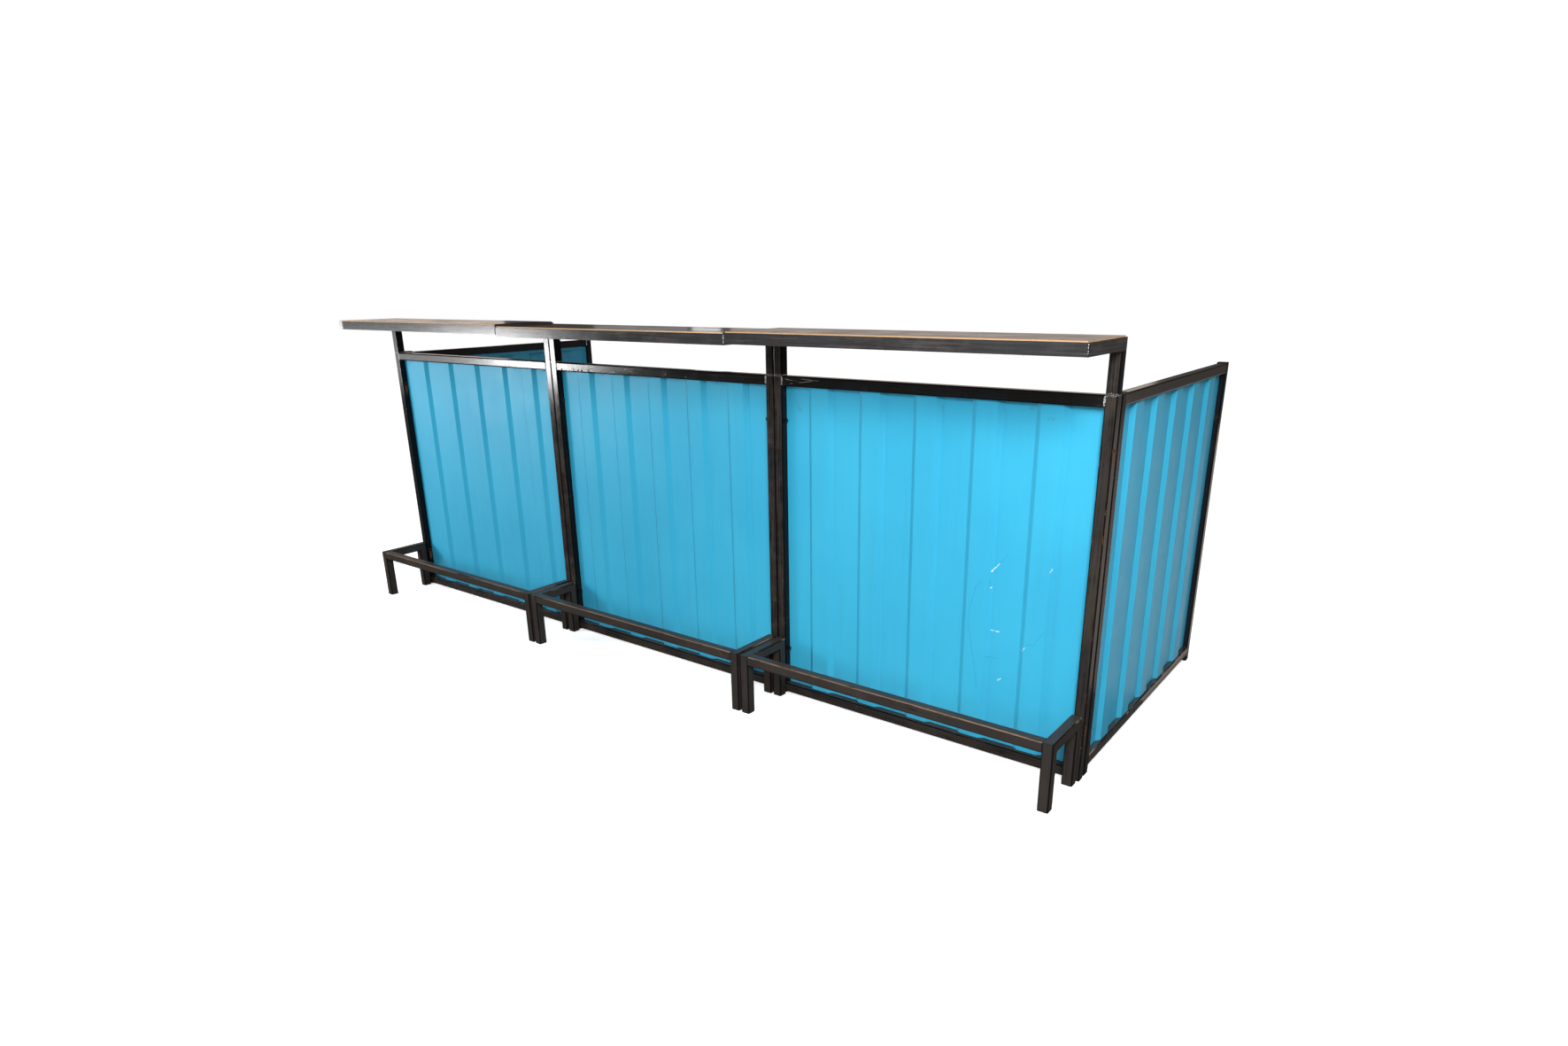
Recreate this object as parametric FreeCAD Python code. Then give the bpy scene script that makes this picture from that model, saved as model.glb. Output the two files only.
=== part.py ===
import FreeCAD, Part
import math
import os

# Modular front bar: front modules in a row and a folding wing behind each end of the row.
# Sizes are in millimetres. +X runs along the bar, +Y from the customer's side to the staff's
# side, +Z up. The origin is on the floor, in the middle of the bar's box.

# Square tube that all the frames are welded from
tube = 30.0
tube_wall = 2.0
tube_bend = 2.0

# Front modules
module_count = 3
module_width = 1000.0
panel_height = 1000.0
rail_lift = 3.0

# Wings, the same kind of panel, hung on the end posts and clear of the floor
wing_length = 1000.0
wing_rail_lift = 22.0
wing_floor_gap = 1.5

# Profiled sheet in each panel: its front face lies behind the tubes' faces, less deep in wings
sheet_setback = 22.0
wing_sheet_setback = 16.0
sheet_thickness = 0.8
sheet_clearance = 1.0
sheet_bend = 2.0
rib_pitch = 172.0
rib_crest = 57.0
rib_flank = 15.0
rib_height = 11.0

# Flat bars that the sheet lies against, and the blind rivets that hold it
strip_width = 15.0
strip_thickness = 3.0
rivet_radius = 2.0
rivet_head_radius = 4.0
rivet_head_height = 1.2
rivet_tail_radius = 3.0
rivet_tail_length = 2.5
side_rivets = 3

# Counters stand on risers on the posts' upper ends, each a little higher than the lowest
# one, as the hand-cut risers leave it
riser_length = 95.0
counter_lifts = (7.0, 0.0, 3.0)
counter_overhang = 215.0
counter_gap = 1.0
angle_leg = 30.0
angle_thickness = 3.0
angle_corner_bevel = 2.0
board_thickness = 30.0
board_clearance = 1.0
screw_radius = 2.25
screw_length = 25.0
screw_head_radius = 4.5
screw_head_height = 1.8
screw_inset = 150.0

# Foot rests: the reach is from the posts' front faces
footrest_height = 190.0
footrest_reach = 196.0
footrest_inset = 5.0
footrest_gap = 7.0

# Foot rest fixing: button-head bolts from behind, spacers in the gap, rivet nuts in the legs
footrest_bolt_height = 100.0
bolt_radius = 4.0
bolt_clearance = 0.5
button_head_radius = 7.0
button_head_height = 4.4
spacer_radius = 8.0
rivet_nut_radius = 5.5
rivet_nut_length = 15.0
rivet_nut_flange_radius = 7.0
rivet_nut_flange = 0.8
bolt_tip = 2.0

# Couplings between modules: flanged bolts through neighbouring posts, in oversize holes that
# stay open on the outer sides of the end posts; the distances are from the floor to the lower
# hole and from the posts' upper ends down to the upper one
coupling_floor_distance = 150.0
coupling_top_distance = 130.0
coupling_hole_radius = 5.5
coupling_sheet_clearance = 1.0
flange_radius = 8.0
flange_height = 1.6
hex_flats = 13.0
bolt_head_height = 5.3
nut_height = 6.5

# Plastic end caps in the tubes' open ends
cap_head = 3.0
cap_plug_length = 14.0
cap_plug_wall = 2.0
cap_clearance = 0.3

# Butt hinges between end posts and wings
hinge_height = 80.0
hinge_end_distance = 150.0
hinge_leaf = 2.5
hinge_leaf_gap = 0.6
hinge_leaf_margin = 4.0
knuckle_radius = 6.0
knuckle_length = 25.0
knuckle_end_gap = 0.3
knuckle_clearance = 0.5
pin_radius = 4.0
pin_running_clearance = 0.05
pin_head_radius = 5.5
pin_head_height = 2.0

# Sizes that follow from those above
tube_radius = tube_bend + tube_wall
tube_bore = tube - 2 * tube_wall
bar_length = module_count * module_width
wing_gap = 2 * hinge_leaf + hinge_leaf_gap
wing_front = tube + wing_gap
bar_depth = counter_overhang + wing_front + wing_length
post_front = counter_overhang - bar_depth / 2
counter_height = panel_height + riser_length + angle_leg
coupling_heights = (coupling_floor_distance, panel_height - coupling_top_distance)
coupling_depth = sheet_setback - coupling_sheet_clearance - flange_radius
footrest_bolt_x = (tube + footrest_inset) / 2

Vector = FreeCAD.Vector
Placement = FreeCAD.Placement
Rotation = FreeCAD.Rotation
ALONG = Vector(1, 0, 0)
BACK = Vector(0, 1, 0)
UP = Vector(0, 0, 1)
FORWARD = -BACK
DOWN = -UP
ORIGIN = Vector(0, 0, 0)


# Basic solids

def box(low, high):
    """Block between two opposite corners."""
    size = high - low
    return Part.makeBox(size.x, size.y, size.z, low)


def prism(points, path):
    """Solid swept along path by the flat outline through points."""
    outline = Part.makePolygon(points + points[:1])
    return Part.Face(outline).extrude(path)


def rounded_square(side, radius):
    """Outline of a square with rounded corners, centred on the origin and square to Z."""
    half = side / 2
    flat = half - radius
    bulge = flat + radius * math.sqrt(0.5)
    edges = []
    for quarter in range(4):
        turn = Rotation(UP, 90 * quarter)
        side_start = turn.multVec(Vector(half, -flat, 0))
        side_end = turn.multVec(Vector(half, flat, 0))
        corner_middle = turn.multVec(Vector(bulge, bulge, 0))
        corner_end = turn.multVec(Vector(flat, half, 0))
        edges.append(Part.LineSegment(side_start, side_end).toShape())
        edges.append(Part.Arc(side_end, corner_middle, corner_end).toShape())
    return Part.Wire(edges)


def square_tube(low, axis, length):
    """Hollow tube along axis, where low is the lowest corner of its box."""
    half = tube / 2
    start = low + Vector(half, half, half) - axis * half
    outside = Part.Face(rounded_square(tube, tube_radius)).extrude(UP * length)
    bore = Part.Face(rounded_square(tube_bore, tube_bend)).extrude(UP * length)
    solid = outside.cut(bore)
    solid.Placement = Placement(start, Rotation(UP, axis))
    return solid


def placed(shape, point, axis):
    """Copy of a shape that was made along +Z from the origin, set at point along axis."""
    copy = shape.copy()
    copy.Placement = Placement(point, Rotation(UP, axis))
    return copy


def hexagon(across_flats, height):
    """Hexagonal block from the origin upwards."""
    corner = across_flats / math.sqrt(3)
    points = []
    for index in range(6):
        angle = math.radians(60 * index)
        points.append(Vector(corner * math.cos(angle), corner * math.sin(angle), 0))
    return prism(points, UP * height)


def dome(radius, height):
    """Cap of a sphere that stands on the origin plane."""
    ball_radius = (radius ** 2 + height ** 2) / (2 * height)
    ball = Part.makeSphere(ball_radius, Vector(0, 0, height - ball_radius))
    return ball.common(Part.makeCylinder(radius, height))


# Fasteners, each made along +Z with its seat at the origin: heads lie below it

def blind_rivet():
    """Rivet with a domed head in front of the sheet and its tail behind the flat bar."""
    grip = sheet_thickness + strip_thickness
    head = dome(rivet_head_radius, rivet_head_height)
    head.rotate(ORIGIN, ALONG, 180)
    shank = Part.makeCylinder(rivet_radius, grip)
    tail = Part.makeCylinder(rivet_tail_radius, rivet_tail_length, UP * grip)
    return head.fuse([shank, tail]).removeSplitter()


def coupling_bolt():
    """Flanged hexagon bolt that reaches through two posts and a nut."""
    length = 2 * tube + nut_height + bolt_tip
    flange = Part.makeCylinder(flange_radius, flange_height, DOWN * flange_height)
    head = hexagon(hex_flats, bolt_head_height)
    head.translate(DOWN * (flange_height + bolt_head_height))
    shank = Part.makeCylinder(bolt_radius, length)
    return shank.fuse([flange, head]).removeSplitter()


def coupling_nut():
    """Flanged hexagon nut that stands on the origin plane."""
    flange = Part.makeCylinder(flange_radius, flange_height)
    body = hexagon(hex_flats, nut_height)
    bore = Part.makeCylinder(bolt_radius, nut_height)
    return flange.fuse(body).removeSplitter().cut(bore)


def button_bolt():
    """Button-head bolt that reaches through a post and its spacer into the rivet nut."""
    length = tube + footrest_gap + rivet_nut_length - bolt_tip
    head = dome(button_head_radius, button_head_height)
    head.rotate(ORIGIN, ALONG, 180)
    return head.fuse(Part.makeCylinder(bolt_radius, length)).removeSplitter()


def rivet_nut():
    """Threaded insert with its flange outside the tube wall and its body inside."""
    flange = Part.makeCylinder(rivet_nut_flange_radius, rivet_nut_flange, DOWN * rivet_nut_flange)
    body = Part.makeCylinder(rivet_nut_radius, rivet_nut_length)
    bore_length = rivet_nut_flange + rivet_nut_length
    bore = Part.makeCylinder(bolt_radius, bore_length, DOWN * rivet_nut_flange)
    return body.fuse(flange).removeSplitter().cut(bore)


def spacer():
    """Sleeve between a post and the flange of the rivet nut in front of it."""
    length = footrest_gap - rivet_nut_flange
    bore = Part.makeCylinder(bolt_radius + bolt_clearance, length)
    return Part.makeCylinder(spacer_radius, length).cut(bore)


def board_screw():
    """Pan-head screw that goes up through an angle into the board."""
    head = dome(screw_head_radius, screw_head_height)
    head.rotate(ORIGIN, ALONG, 180)
    return head.fuse(Part.makeCylinder(screw_radius, screw_length)).removeSplitter()


def end_cap():
    """Cap with a flat head as large as the tube and a hollow square plug above it."""
    head = Part.Face(rounded_square(tube, tube_radius)).extrude(UP * cap_head)
    plug_side = tube_bore - 2 * cap_clearance
    outline = rounded_square(plug_side, tube_bend)
    hollow_half = plug_side / 2 - cap_plug_wall
    plug = Part.Face(outline).extrude(UP * cap_plug_length)
    hollow_low = Vector(-hollow_half, -hollow_half, 0)
    hollow_high = Vector(hollow_half, hollow_half, cap_plug_length)
    plug = plug.cut(box(hollow_low, hollow_high))
    plug.translate(UP * cap_head)
    return head.fuse(plug).removeSplitter()


# Panel: its own X runs across it, its own Y from its outer face to its back, Z up

def rib_count(width):
    """Number of whole ribs that fit between the posts of a panel."""
    return int((width - 2 * (tube + sheet_clearance)) // rib_pitch)


def sheet_line(width, setback):
    """Bend points of the sheet's middle surface, from one edge to the other."""
    valley = setback + sheet_thickness / 2
    crest = valley - rib_height
    edge = tube + sheet_clearance
    count = rib_count(width)
    line = [Vector(edge, valley, 0)]
    for index in range(count):
        middle = width / 2 + (index - (count - 1) / 2) * rib_pitch
        line.append(Vector(middle - rib_crest / 2 - rib_flank, valley, 0))
        line.append(Vector(middle - rib_crest / 2, crest, 0))
        line.append(Vector(middle + rib_crest / 2, crest, 0))
        line.append(Vector(middle + rib_crest / 2 + rib_flank, valley, 0))
    line.append(Vector(width - edge, valley, 0))
    return line


def valley_centres(width):
    """Places across a panel of the middles of the sheet's valleys."""
    count = rib_count(width)
    return [width / 2 + (index - count / 2) * rib_pitch for index in range(count + 1)]


def bend_arc(before, corner, after, offset):
    """Start, middle and end of a rounded bend, moved to the left of the line by offset."""
    into = (corner - before).normalize()
    out = (after - corner).normalize()
    left_in = UP.cross(into)
    left_out = UP.cross(out)
    left_turn = math.copysign(1, into.cross(out).z)
    reach = sheet_bend * math.tan(into.getAngle(out) / 2)
    centre = corner - into * reach + left_in * left_turn * sheet_bend
    arm = left_turn * sheet_bend - offset
    bisector = (left_in + left_out).normalize()
    return centre - left_in * arm, centre - bisector * arm, centre - left_out * arm


def sheet_side(line, offset):
    """Edges of one face of the sheet, with the two points where that face ends."""
    first = line[0] + BACK * offset
    last = line[-1] + BACK * offset
    edges = []
    place = first
    for before, corner, after in zip(line, line[1:], line[2:]):
        start, middle, end = bend_arc(before, corner, after, offset)
        edges.append(Part.LineSegment(place, start).toShape())
        edges.append(Part.Arc(start, middle, end).toShape())
        place = end
    edges.append(Part.LineSegment(place, last).toShape())
    return edges, first, last


def sheet_section(width, setback):
    """Cross-section of the sheet, with its bends rounded on both faces."""
    line = sheet_line(width, setback)
    back_edges, back_first, back_last = sheet_side(line, sheet_thickness / 2)
    front_edges, front_first, front_last = sheet_side(line, -sheet_thickness / 2)
    ends = [
        Part.LineSegment(front_first, back_first).toShape(),
        Part.LineSegment(front_last, back_last).toShape(),
    ]
    wire = Part.Wire(Part.__sortEdges__(back_edges + front_edges + ends))
    return Part.Face(wire)


def rivet_places(width, low, high, setback):
    """Rivet seats on the sheet: one per valley along both rails and a few up each side."""
    half_strip = strip_width / 2
    places = []
    for x in valley_centres(width):
        places.append(Vector(x, setback, low + half_strip))
        places.append(Vector(x, setback, high - half_strip))
    step = (high - low) / (side_rivets + 1)
    for index in range(side_rivets):
        height = low + step * (index + 1)
        places.append(Vector(tube + half_strip, setback, height))
        places.append(Vector(width - tube - half_strip, setback, height))
    return places


def panel(width, foot, lift, setback):
    """Pieces of one panel by name, where foot and lift are its posts' and bottom rail's heights."""
    opening_low = lift + tube
    opening_high = panel_height - tube
    opening_far = width - tube
    post_low = foot + cap_head
    rail_length = width - 2 * tube
    sheet_back = setback + sheet_thickness
    strip_back = sheet_back + strip_thickness

    grip = sheet_thickness + strip_thickness
    seats = rivet_places(width, opening_low, opening_high, setback)
    holes = [Part.makeCylinder(rivet_radius, grip, seat, BACK) for seat in seats]

    sheet_low = opening_low + sheet_clearance
    sheet_height = opening_high - sheet_clearance - sheet_low
    sheet = sheet_section(width, setback).extrude(UP * sheet_height)
    sheet.translate(UP * sheet_low)

    inner_near = tube + strip_width
    inner_far = opening_far - strip_width
    strip_boxes = [
        (tube, opening_low, inner_near, opening_high),
        (inner_far, opening_low, opening_far, opening_high),
        (inner_near, opening_low, inner_far, opening_low + strip_width),
        (inner_near, opening_high - strip_width, inner_far, opening_high),
    ]
    strips = []
    for x_low, z_low, x_high, z_high in strip_boxes:
        strip = box(Vector(x_low, sheet_back, z_low), Vector(x_high, strip_back, z_high))
        strips.append(strip.cut(holes))

    rivet = blind_rivet()
    return {
        "near_post": [square_tube(Vector(0, 0, post_low), UP, panel_height - post_low)],
        "far_post": [square_tube(Vector(opening_far, 0, post_low), UP, panel_height - post_low)],
        "top_rail": [square_tube(Vector(tube, 0, opening_high), ALONG, rail_length)],
        "bottom_rail": [square_tube(Vector(tube, 0, lift), ALONG, rail_length)],
        "sheet": [sheet.cut(holes)],
        "sheet_strips": strips,
        "sheet_rivets": [placed(rivet, seat, BACK) for seat in seats],
    }


def post_caps(width, foot, tops):
    """End caps in the feet of a panel's posts and, where tops is set, in their upper ends."""
    cap = end_cap()
    half = tube / 2
    caps = []
    for x in (half, width - half):
        caps.append(placed(cap, Vector(x, half, foot), UP))
        if tops:
            caps.append(placed(cap, Vector(x, half, panel_height + cap_head), DOWN))
    return caps


# Front module: its own X runs from its left end, its own Y from the posts' front faces

def drilled_posts(pieces):
    """Cut the coupling holes and the foot rest bolt's hole into both posts of a module."""
    drills = []
    for height in coupling_heights:
        start = Vector(0, coupling_depth, height)
        drills.append(Part.makeCylinder(coupling_hole_radius, module_width, start, ALONG))
    for x in (footrest_bolt_x, module_width - footrest_bolt_x):
        start = Vector(x, 0, footrest_bolt_height)
        drills.append(Part.makeCylinder(bolt_radius + bolt_clearance, tube, start, BACK))
    for name in ("near_post", "far_post"):
        pieces[name] = [post.cut(drills) for post in pieces[name]]


def risers(counter_base):
    """Two short tubes that carry the counter on the posts' upper ends."""
    length = counter_base - panel_height
    return [square_tube(Vector(x, 0, panel_height), UP, length) for x in (0, module_width - tube)]


def screw_seats(counter_base):
    """Places under the front and back angles where the board's screws go in."""
    front = (angle_leg + angle_thickness) / 2 - counter_overhang
    back = tube - (angle_leg + angle_thickness) / 2
    places = []
    for x in (screw_inset, module_width / 2, module_width - screw_inset):
        places.append(Vector(x, front, counter_base))
        places.append(Vector(x, back, counter_base))
    return places


def counter_frame(counter_base):
    """Four steel angles round the board, mitred, bevelled for the corner welds and drilled."""
    low = Vector(counter_gap / 2, -counter_overhang, counter_base)
    high = Vector(module_width - counter_gap / 2, tube, counter_base + angle_leg)
    wall = Vector(angle_thickness, angle_thickness, 0)
    leg = Vector(angle_leg, angle_leg, 0)
    board_room = box(low + wall + UP * angle_thickness, high - wall)
    block = box(low, high)
    corner_edges = [edge for edge in block.Edges if edge.tangentAt(0).cross(UP).Length < 0.5]
    block = block.makeChamfer(angle_corner_bevel, corner_edges)
    ring = block.cut([board_room, box(low + leg, high - leg)])
    shank = Part.makeCylinder(screw_radius, angle_thickness)
    ring = ring.cut([placed(shank, seat, UP) for seat in screw_seats(counter_base)])
    near_left = low
    near_right = Vector(high.x, low.y, low.z)
    far_right = Vector(high.x, high.y, low.z)
    far_left = Vector(low.x, high.y, low.z)
    corners = [near_left, near_right, far_right, far_left]
    inwards = [Vector(1, 1, 0), Vector(-1, 1, 0), Vector(-1, -1, 0), Vector(1, -1, 0)]
    angles = []
    for index in range(4):
        start = corners[index - 1]
        end = corners[index]
        start_inner = start + inwards[index - 1] * angle_leg
        end_inner = end + inwards[index] * angle_leg
        side = prism([start, end, end_inner, start_inner], UP * angle_leg)
        angles.extend(ring.common(side).Solids)
    return angles


def counter_board(counter_base):
    """Board that lies on the angles and stands a little higher than their edges."""
    margin = angle_thickness + board_clearance
    bottom = counter_base + angle_thickness
    low = Vector(counter_gap / 2 + margin, margin - counter_overhang, bottom)
    high = Vector(module_width - counter_gap / 2 - margin, tube - margin, bottom + board_thickness)
    shank = Part.makeCylinder(screw_radius, screw_length)
    pilots = [placed(shank, seat, UP) for seat in screw_seats(counter_base)]
    return box(low, high).cut(pilots)


def corner_waste(x, outer, beside, inner):
    """Wedge that a mitre cuts off a tube; its corners are given across and up."""
    points = [Vector(x, across, height) for across, height in (outer, beside, inner)]
    return prism(points, ALONG * tube)


def footrest_side_frame(x):
    """Front leg, side rail and rear leg of a foot rest, mitred where they meet."""
    top = footrest_height
    under = top - tube
    front = -footrest_reach
    front_inner = front + tube
    rear = -footrest_gap
    rear_inner = rear - tube
    leg_length = top - cap_head
    front_leg = square_tube(Vector(x, front, cap_head), UP, leg_length)
    rear_leg = square_tube(Vector(x, rear_inner, cap_head), UP, leg_length)
    side_rail = square_tube(Vector(x, front, under), BACK, rear - front)
    front_ends = ((front, top), (front_inner, under))
    rear_ends = ((rear, top), (rear_inner, under))
    front_leg = front_leg.cut(corner_waste(x, front_ends[0], (front_inner, top), front_ends[1]))
    rear_leg = rear_leg.cut(corner_waste(x, rear_ends[0], (rear_inner, top), rear_ends[1]))
    side_rail = side_rail.cut([
        corner_waste(x, front_ends[0], (front, under), front_ends[1]),
        corner_waste(x, rear_ends[0], (rear, under), rear_ends[1]),
    ])
    return front_leg, side_rail, rear_leg


def footrest_frames():
    """Both side frames of a foot rest, with the rivet nuts' holes in the rear legs."""
    places = (footrest_inset, module_width - footrest_inset - tube)
    bolts = (footrest_bolt_x, module_width - footrest_bolt_x)
    solids = []
    for x, bolt_x in zip(places, bolts):
        front_leg, side_rail, rear_leg = footrest_side_frame(x)
        mouth = Vector(bolt_x, -footrest_gap, footrest_bolt_height)
        hole = Part.makeCylinder(rivet_nut_radius, tube / 2, mouth, FORWARD)
        solids.extend([front_leg, side_rail, rear_leg.cut(hole)])
    return solids


def footrest_front_rail():
    """Rail that the feet rest on, between the two side frames."""
    start = footrest_inset + tube
    low = Vector(start, -footrest_reach, footrest_height - tube)
    return square_tube(low, ALONG, module_width - 2 * start)


def footrest_caps():
    """End caps in the four legs of a foot rest."""
    cap = end_cap()
    half = tube / 2
    left = footrest_inset + half
    front = half - footrest_reach
    rear = -footrest_gap - half
    caps = []
    for x in (left, module_width - left):
        caps.append(placed(cap, Vector(x, front, 0), UP))
        caps.append(placed(cap, Vector(x, rear, 0), UP))
    return caps


def footrest_fixings():
    """Bolts, spacers and rivet nuts that hold one foot rest to the posts."""
    bolts = []
    spacers = []
    nuts = []
    for x in (footrest_bolt_x, module_width - footrest_bolt_x):
        bolts.append(placed(button_bolt(), Vector(x, tube, footrest_bolt_height), FORWARD))
        spacers.append(placed(spacer(), Vector(x, 0, footrest_bolt_height), FORWARD))
        nut_seat = Vector(x, -footrest_gap, footrest_bolt_height)
        nuts.append(placed(rivet_nut(), nut_seat, FORWARD))
    return bolts, spacers, nuts


# Hinges of the right wing, in the bar's own frame; the left wing's are their mirror image

hinge_x = bar_length / 2 - tube - knuckle_radius - knuckle_clearance
hinge_y = post_front + tube + wing_gap / 2


def hinge_bases():
    """Heights of the lower ends of the two hinges on a wing."""
    return hinge_end_distance, panel_height - hinge_end_distance - hinge_height


def hinge_half(base, leaf_front, knuckles, bore_radius):
    """One leaf with its knuckles; leaf_front is its nearer face, knuckles are height spans."""
    post_inner = bar_length / 2 - tube
    leaf_back = leaf_front + hinge_leaf
    leaf_end = bar_length / 2 - hinge_leaf_margin
    leaf_low = Vector(post_inner, leaf_front, base)
    solid = box(leaf_low, Vector(leaf_end, leaf_back, base + hinge_height))
    for low, high in knuckles:
        foot = Vector(hinge_x, hinge_y, base + low)
        tongue = box(Vector(hinge_x, leaf_front, foot.z), Vector(post_inner, leaf_back, base + high))
        barrel = Part.makeCylinder(knuckle_radius, high - low, foot)
        solid = solid.fuse([tongue, barrel])
    bore = Part.makeCylinder(bore_radius, hinge_height, Vector(hinge_x, hinge_y, base))
    return solid.removeSplitter().cut(bore).Solids[0]


def fixed_leaves():
    """Leaves on the end post's back, each with a knuckle at both ends."""
    spans = [(0, knuckle_length), (hinge_height - knuckle_length, hinge_height)]
    front = post_front + tube
    return [hinge_half(base, front, spans, pin_radius) for base in hinge_bases()]


def moving_leaves():
    """Leaves on the wing post's front, each with its knuckle between the fixed ones."""
    low = knuckle_length + knuckle_end_gap
    spans = [(low, hinge_height - low)]
    front = post_front + wing_front - hinge_leaf
    bore_radius = pin_radius + pin_running_clearance
    return [hinge_half(base, front, spans, bore_radius) for base in hinge_bases()]


def hinge_pins():
    """Pins through the knuckles, each with a flat head on top."""
    pins = []
    for base in hinge_bases():
        foot = Vector(hinge_x, hinge_y, base)
        head_foot = foot + UP * hinge_height
        shank = Part.makeCylinder(pin_radius, hinge_height, foot)
        head = Part.makeCylinder(pin_head_radius, pin_head_height, head_foot)
        pins.append(shank.fuse(head).removeSplitter())
    return pins


def mirrored(solids):
    """The same solids at the other end of the bar."""
    return [solid.mirror(ORIGIN, ALONG) for solid in solids]


# Assembly: nodes by name, each a list of solids

nodes = {}


def add(name, solids, placement=Placement()):
    """Put solids into a node, moved by placement."""
    for solid in solids:
        moved = solid.copy()
        moved.Placement = placement.multiply(moved.Placement)
        nodes.setdefault(name, []).append(moved)


def add_module(index):
    """All pieces of one front module, which stands at its place in the row."""
    prefix = "module_%d_" % (index + 1)
    place = Placement(Vector(index * module_width - bar_length / 2, post_front, 0), Rotation())
    counter_base = counter_height - angle_leg + counter_lifts[index % len(counter_lifts)]
    pieces = panel(module_width, 0, rail_lift, sheet_setback)
    drilled_posts(pieces)
    add(prefix + "left_post", pieces["near_post"], place)
    add(prefix + "right_post", pieces["far_post"], place)
    for name in ("top_rail", "bottom_rail", "sheet"):
        add(prefix + name, pieces[name], place)
    add(prefix + "risers", risers(counter_base), place)
    add(prefix + "counter_frame", counter_frame(counter_base), place)
    add(prefix + "counter_board", [counter_board(counter_base)], place)
    add(prefix + "footrest_front_rail", [footrest_front_rail()], place)
    add(prefix + "footrest_side_frames", footrest_frames(), place)
    bolts, spacers, nuts = footrest_fixings()
    add("sheet_strips", pieces["sheet_strips"], place)
    add("sheet_rivets", pieces["sheet_rivets"], place)
    add("board_screws", [placed(board_screw(), seat, UP) for seat in screw_seats(counter_base)], place)
    add("footrest_bolts", bolts, place)
    add("footrest_spacers", spacers, place)
    add("footrest_rivet_nuts", nuts, place)
    add("end_caps", post_caps(module_width, 0, False) + footrest_caps(), place)


def add_couplings():
    """Bolts and nuts through the neighbouring posts of the modules."""
    for joint in range(1, module_count):
        joint_x = joint * module_width - bar_length / 2
        for height in coupling_heights:
            seat = Vector(joint_x - tube, post_front + coupling_depth, height)
            add("coupling_bolts", [placed(coupling_bolt(), seat, ALONG)])
            add("coupling_nuts", [placed(coupling_nut(), seat + ALONG * 2 * tube, ALONG)])


def add_wing(side, place, front_post, rear_post):
    """All pieces of one wing; the last two values say which post of its panel is which."""
    prefix = side + "_wing_"
    pieces = panel(wing_length, wing_floor_gap, wing_rail_lift, wing_sheet_setback)
    add(prefix + "front_post", pieces[front_post], place)
    add(prefix + "rear_post", pieces[rear_post], place)
    for name in ("top_rail", "bottom_rail", "sheet", "sheet_strips", "sheet_rivets"):
        add(prefix + name, pieces[name], place)
    add(prefix + "end_caps", post_caps(wing_length, wing_floor_gap, True), place)


def add_wings():
    """Both wings with their ribs outwards, and the hinges that carry them."""
    right_place = Placement(Vector(bar_length / 2, post_front + wing_front, 0), Rotation(UP, 90))
    left_place = Placement(Vector(-bar_length / 2, bar_depth / 2, 0), Rotation(UP, -90))
    add_wing("right", right_place, "near_post", "far_post")
    add_wing("left", left_place, "far_post", "near_post")
    add("right_wing_hinge_leaves", moving_leaves())
    add("left_wing_hinge_leaves", mirrored(moving_leaves()))
    add("hinge_fixed_leaves", fixed_leaves() + mirrored(fixed_leaves()))
    add("hinge_pins", hinge_pins() + mirrored(hinge_pins()))


for module_index in range(module_count):
    add_module(module_index)
add_couplings()
add_wings()

os.makedirs("parts", exist_ok=True)
for node_name, node_solids in nodes.items():
    shape = node_solids[0] if len(node_solids) == 1 else Part.makeCompound(node_solids)
    shape.exportStep("parts/%s.step" % node_name)
print(len(nodes), "nodes,", sum(len(solids) for solids in nodes.values()), "solids")
print("hinge axis of the right wing:", round(hinge_x, 3), round(hinge_y, 3))
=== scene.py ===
import math
import random
import bmesh
import bpy
from mathutils import Matrix, Vector


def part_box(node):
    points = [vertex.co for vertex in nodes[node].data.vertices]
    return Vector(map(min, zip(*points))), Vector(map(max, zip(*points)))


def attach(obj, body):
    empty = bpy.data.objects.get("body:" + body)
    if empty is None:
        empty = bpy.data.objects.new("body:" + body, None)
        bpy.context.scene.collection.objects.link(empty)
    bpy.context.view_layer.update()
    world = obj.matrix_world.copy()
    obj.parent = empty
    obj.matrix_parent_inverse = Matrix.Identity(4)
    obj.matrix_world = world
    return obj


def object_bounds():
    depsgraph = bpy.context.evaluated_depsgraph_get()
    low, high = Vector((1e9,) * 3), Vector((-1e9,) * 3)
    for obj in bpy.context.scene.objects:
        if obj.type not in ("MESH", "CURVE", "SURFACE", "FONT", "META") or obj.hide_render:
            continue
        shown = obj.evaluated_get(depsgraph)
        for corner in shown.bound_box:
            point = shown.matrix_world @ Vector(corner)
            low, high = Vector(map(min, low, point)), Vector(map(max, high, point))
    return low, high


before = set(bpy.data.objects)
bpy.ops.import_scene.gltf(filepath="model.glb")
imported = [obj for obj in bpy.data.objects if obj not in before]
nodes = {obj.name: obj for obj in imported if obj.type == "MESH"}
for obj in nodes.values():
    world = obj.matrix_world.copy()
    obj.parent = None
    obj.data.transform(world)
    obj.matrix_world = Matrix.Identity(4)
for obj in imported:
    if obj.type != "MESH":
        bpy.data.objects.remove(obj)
cad_low, cad_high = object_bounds()

# Looks of the front bar: finishes on every node, weld beads on the frames, studio and camera.
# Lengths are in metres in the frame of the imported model: +X along the bar, +Y to the staff's
# side, +Z up. Colours are linear, and texture scales are per metre.

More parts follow.
